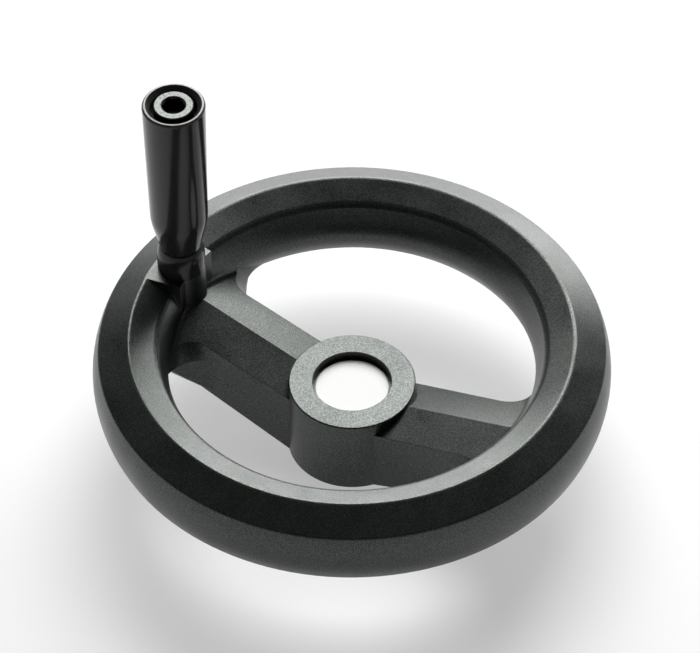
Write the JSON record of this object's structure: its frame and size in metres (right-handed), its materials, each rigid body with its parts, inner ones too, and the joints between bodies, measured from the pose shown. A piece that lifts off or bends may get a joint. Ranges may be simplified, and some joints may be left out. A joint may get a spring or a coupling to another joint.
{
  "type": "machine handwheel",
  "caption": "Dished handwheel with a gabled rim, straight arms, a blind-capped hub bore and an upright turning grip near the rim.",
  "frame": {"origin": "centre of the hub's underside, at the mouth of the shaft bore", "axes": "+Z along the shaft axis, towards the dished face and the grip; the arms lie along X, with the grip on the -X arm"},
  "size_m": [0.2, 0.2, 0.1459],
  "materials": {
    "wheel_plastic": "fine matt grain",
    "blackened_steel": "turned and blackened",
    "cap_plastic": "smooth, pale",
    "insert_brass": "turned",
    "grip_plastic": "polished black",
    "bright_steel": "turned, bright"
  },
  "bodies": {
    "wheel": {"wheel_body": "wheel_plastic", "hub_bush": "blackened_steel", "hub_cap": "cap_plastic", "handle_insert": "insert_brass", "handle_collar": "grip_plastic", "handle_spindle": "bright_steel"},
    "grip": {"handle_grip": "grip_plastic"}
  },
  "joints": [
    {"name": "handle_spin", "type": "hinge", "parent": "wheel", "child": "grip", "pos_m": [-0.0765, 0, 0.1], "axis": [0, 0, 1], "continuous": true}
  ]
}
